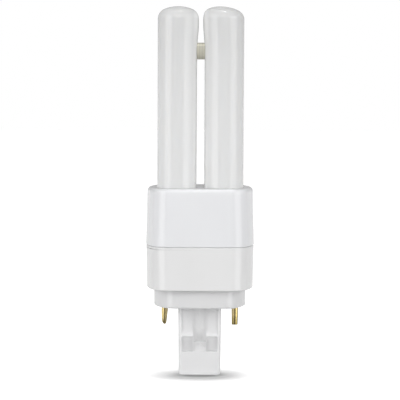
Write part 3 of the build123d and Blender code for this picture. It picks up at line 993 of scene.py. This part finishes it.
@dataclass(frozen=True)
class Driver:
    """The driver's board, parts and leads, inside the housing."""

    board: BoardFinish = BoardFinish("green_board", (0.02, 0.12, 0.04), (0.04, 0.2, 0.07))
    case: MouldedFinish = MouldedFinish(
        "black_case", (0.012, 0.012, 0.013), roughness=0.42, mottle=0.3, grain_depth=0.01 * MM)
    film: MouldedFinish = MouldedFinish(
        "film_case", (0.7, 0.34, 0.02), roughness=0.2, mottle=0.12, grain_depth=0.008 * MM)
    ferrite: MouldedFinish = MouldedFinish(
        "ferrite", (0.03, 0.03, 0.033), roughness=0.5, mottle=0.35, grain_depth=0.02 * MM)
    winding: WindingFinish = WindingFinish("copper_wire", (0.72, 0.3, 0.12))
    resistor: BandedFinish = BandedFinish(
        "resistor_coat", (0.12, 0.32, 0.24), ((0.12, 0.05, 0.02), (0.01, 0.01, 0.01), (0.7, 0.5, 0.1)),
        start=38.0 * MM, pitch=1.7 * MM)
    pin_lead: Colour = (0.72, 0.72, 0.68)
    red_lead: Colour = (0.5, 0.01, 0.01)
    black_lead: Colour = (0.01, 0.01, 0.011)

    def insulation(self, name: str, colour: Colour) -> MouldedFinish:
        """Gives a lead's finish, from its material's name and its colour."""
        return MouldedFinish(name, colour, roughness=0.35, mottle=0.15, grain_depth=0.006 * MM)

    def dress(self, nodes: Nodes) -> None:
        """Dresses the board, its parts and the leads.

        Args:
            nodes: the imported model's objects by name.
        """
        dress(nodes, ["driver_board"], self.board)
        dress(nodes, ["bridge_rectifier", "driver_chip"], self.case)
        for name in ("bulk_capacitor", "output_capacitor"):
            dress(nodes, [name], SleeveFinish("can_sleeve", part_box(name)))
        dress(nodes, ["film_capacitor"], self.film)
        dress(nodes, ["choke_core"], self.ferrite)
        dress(nodes, ["choke_winding"], self.winding)
        dress(nodes, ["fuse_resistor"], self.resistor)
        pin_leads = [f"{side.value}_pin_lead" for side in Side]
        dress(nodes, pin_leads, self.insulation("pin_lead", self.pin_lead))
        dress(nodes, ["positive_led_lead"], self.insulation("red_lead", self.red_lead))
        dress(nodes, ["negative_led_lead"], self.insulation("black_lead", self.black_lead))


@dataclass(frozen=True)
class Softbox:
    """One soft lamp: a glowing rectangle that faces the object."""

    name: str
    azimuth: float
    elevation: float
    radiance: float
    size: Span
    distance: float = 0.9
    mirrored: bool = True

    def build(self, target: Vector) -> None:
        """Hangs the lamp.

        Args:
            target: the point that it faces.
        """
        turn, lift = math.radians(self.azimuth), math.radians(self.elevation)
        away = Vector((math.sin(turn) * math.cos(lift), -math.cos(turn) * math.cos(lift), math.sin(lift)))
        light = bpy.data.lights.new(self.name, "AREA")
        light.shape = "RECTANGLE"
        light.size, light.size_y = self.size
        light.energy = self.radiance * math.pi * math.prod(self.size)
        lamp = bpy.data.objects.new(self.name, light)
        lamp.location = target + away * self.distance
        lamp.rotation_euler = away.to_track_quat("Z", "Y").to_euler()
        lamp.visible_camera = False
        lamp.visible_glossy = self.mirrored
        bpy.context.scene.collection.objects.link(lamp)


@dataclass(frozen=True)
class Halo:
    """An oval round the object's foot, in which a value runs from an inner rim to an outer one."""

    values: Span
    reach: Span
    stretch: Place
    shift: Place

    def draw(self, desk: Desk) -> Socket:
        """Gives the value's socket."""
        return desk.spread(desk.distance(self.stretch, self.shift), *self.values, *self.reach)


@dataclass(frozen=True)
class Floor:
    """Pale floor, white to the camera except round the object's foot, where a shadow is painted into the
    colour that the camera sees.
    """

    width: float = 6.0
    paper: Span = (0.71, 0.72)
    speck_scale: float = 180.0
    # Painted shadow: the camera sees the paper darker round and just in front of the foot.
    shade: Halo = Halo((0.38, 0.86), (3.2 * MM, 6.6 * MM), (0.72, 1.05, 1.0), (0.0, 7.4 * MM, 0.0))
    lift: Halo = Halo((0.0, 0.79), (8.5 * MM, 22.2 * MM), (0.96, 1.06, 1.0), (-0.3 * MM, 8.8 * MM, 0.0))
    # Painted light: near the foot the paper glows for rays other than the camera's, lighting the post's foot.
    painted_foot_light: Halo = Halo((0.17, 0.0), (1.0 * MM, 4.2 * MM), (0.35, 1.05, 1.0), (0.0, 7.4 * MM, 0.0))

    def material(self) -> bpy.types.Material:
        """Builds the paper: to the camera, a colour with a shadow painted round the foot and a glow that
        whitens it further out; to other rays, a plain colour and a painted glow near the foot that lights the
        post's foot.

        Returns:
            The finished material.
        """
        desk = Desk.for_material("studio_floor_paper")
        seen = desk.node("LightPath").outputs["Is Camera Ray"]
        speck = desk.noise(self.speck_scale)
        given = desk.levels(speck, tuple(zip((NOISE_LOW, NOISE_HIGH), self.paper)))
        # To the camera the paper takes the painted shadow round the foot; other rays take the plain paper.
        paper = desk.node("BsdfDiffuse", {"Color": desk.blend(seen, given, self.shade.draw(desk))})
        # Painted light near the foot for other rays; to the camera a glow that whitens the paper away from
        # the foot.
        strength = desk.spread(seen, self.painted_foot_light.draw(desk), self.lift.draw(desk), 0.0, 1.0)
        glow = desk.node("Emission", {"Strength": strength})
        lit = desk.node("AddShader", {0: paper.outputs["BSDF"], 1: glow.outputs["Emission"]})
        under = desk.node("NewGeometry").outputs["Backfacing"]
        clear = desk.node("BsdfTransparent")
        sheet = desk.node("MixShader", {0: under, 1: lit.outputs["Shader"], 2: clear.outputs["BSDF"]})
        desk.node("OutputMaterial", {"Surface": sheet.outputs["Shader"]})
        return desk.block

    def build(self) -> None:
        """Lays the floor."""
        bpy.ops.object.select_all(action="DESELECT")
        bpy.ops.mesh.primitive_plane_add(size=self.width)
        floor = bpy.context.active_object
        floor.name = "studio_floor"
        floor.data.materials.append(self.material())
        floor.visible_glossy = False


@dataclass(frozen=True)
class Room:
    """Surroundings: white to the camera, brightest in front as a light, darkest in front in reflections.

    The levels run from the front, at 0, to the back, at 1. Both fades go by height.
    """

    light: Stops = ((0.0, 1.6), (0.25, 0.85), (0.5, 0.32), (1.0, 0.55))
    light_fade: Span = (1.0, 0.08)
    mirrored: Stops = ((0.0, 0.27), (0.18, 0.36), (0.36, 0.45), (0.6, 0.9), (1.0, 1.0))
    mirrored_fade: Span = (0.95, 0.5)
    mirrored_edge: Span = (-0.02, 0.03)

    def build(self) -> None:
        """Makes the world."""
        world = bpy.data.worlds.new("studio_room")
        bpy.context.scene.world = world
        desk = Desk(world)
        way = desk.node("SeparateXYZ", {0: desk.node("TexCoord").outputs["Generated"]})
        height = way.outputs["Z"]
        depth = desk.spread(way.outputs["Y"], 0.0, 1.0, -1.0, 1.0)
        dim = desk.spread(height, *self.mirrored_fade, *self.mirrored_edge)
        mirrored = desk.sum_up("MULTIPLY", desk.levels(depth, self.mirrored), dim)
        fade = desk.spread(height, *self.light_fade, 0.0, 1.0)
        light = desk.sum_up("MULTIPLY", desk.levels(depth, self.light), fade)
        ray = desk.node("LightPath")
        given = desk.spread(ray.outputs["Is Glossy Ray"], light, mirrored, 0.0, 1.0)
        strength = desk.spread(ray.outputs["Is Camera Ray"], given, 1.0, 0.0, 1.0)
        back = desk.node("Background", {"Color": (1.0, 1.0, 1.0, 1.0), "Strength": strength})
        desk.node("OutputWorld", {"Surface": back.outputs["Background"]})


@dataclass(frozen=True)
class PhotoCamera:
    """The camera at the photo's angle."""

    distance: float = 0.80
    height: float = 0.1014
    roll: float = 0.277
    lens: float = 219.05
    sensor: float = 36.0

    def build(self, target: Vector) -> None:
        """Sets the camera up.

        Args:
            target: the point at the middle of the picture.
        """
        camera = bpy.data.cameras.new("photo_camera")
        camera.lens, camera.sensor_width = self.lens, self.sensor
        stand = bpy.data.objects.new("photo_camera", camera)
        stand.location = (target.x, -self.distance, self.height)
        aimed = (target - stand.location).to_track_quat("-Z", "Y")
        tilted = aimed @ Quaternion((0.0, 0.0, 1.0), math.radians(self.roll))
        stand.rotation_euler = tilted.to_euler()
        bpy.context.scene.collection.objects.link(stand)
        bpy.context.scene.camera = stand


@dataclass(frozen=True)
class Studio:
    """Floor, surroundings, soft lamps and camera."""

    aim: Place = (-0.000075, 0.0, 0.05709)
    floor: Floor = Floor()
    room: Room = Room()
    camera: PhotoCamera = PhotoCamera()
    lamps: tuple[Softbox, ...] = (
        Softbox("left_softbox", azimuth=-56.0, elevation=8.0, radiance=1.93, size=(0.66, 1.1)),
        Softbox("right_softbox", azimuth=57.0, elevation=8.0, radiance=1.9, size=(0.66, 1.1)),
        Softbox("front_top_softbox", azimuth=0.0, elevation=38.0, radiance=1.85, size=(0.34, 0.44),
                distance=0.95),
        Softbox("top_softbox", azimuth=80.0, elevation=84.0, radiance=9.0, size=(0.22, 0.22), distance=0.95),
        Softbox("left_fill", azimuth=-92.0, elevation=8.0, radiance=0.85, size=(0.3, 1.0), mirrored=False),
        Softbox("rear_fill", azimuth=180.0, elevation=12.0, radiance=0.9, size=(0.6, 1.0), mirrored=False),
    )

    def build(self) -> None:
        """Sets the stage, the lamps and the camera."""
        target = Vector(self.aim)
        self.floor.build()
        self.room.build()
        for lamp in self.lamps:
            lamp.build(target)
        self.camera.build(target)
        bpy.context.scene.view_settings.view_transform = "Standard"


def main() -> None:
    """Builds the lamp and its studio in order."""
    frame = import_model()
    nodes = frame["nodes"]
    tubes, base = TubeBundle(), PlugBase()
    tubes.build()
    base.build()
    for assembly in (tubes, Housing(), base, Driver()):
        assembly.dress(nodes)
    Studio().build()


if __name__ == "__main__":
    logging.basicConfig(level=logging.INFO, format="%(message)s")
    main()
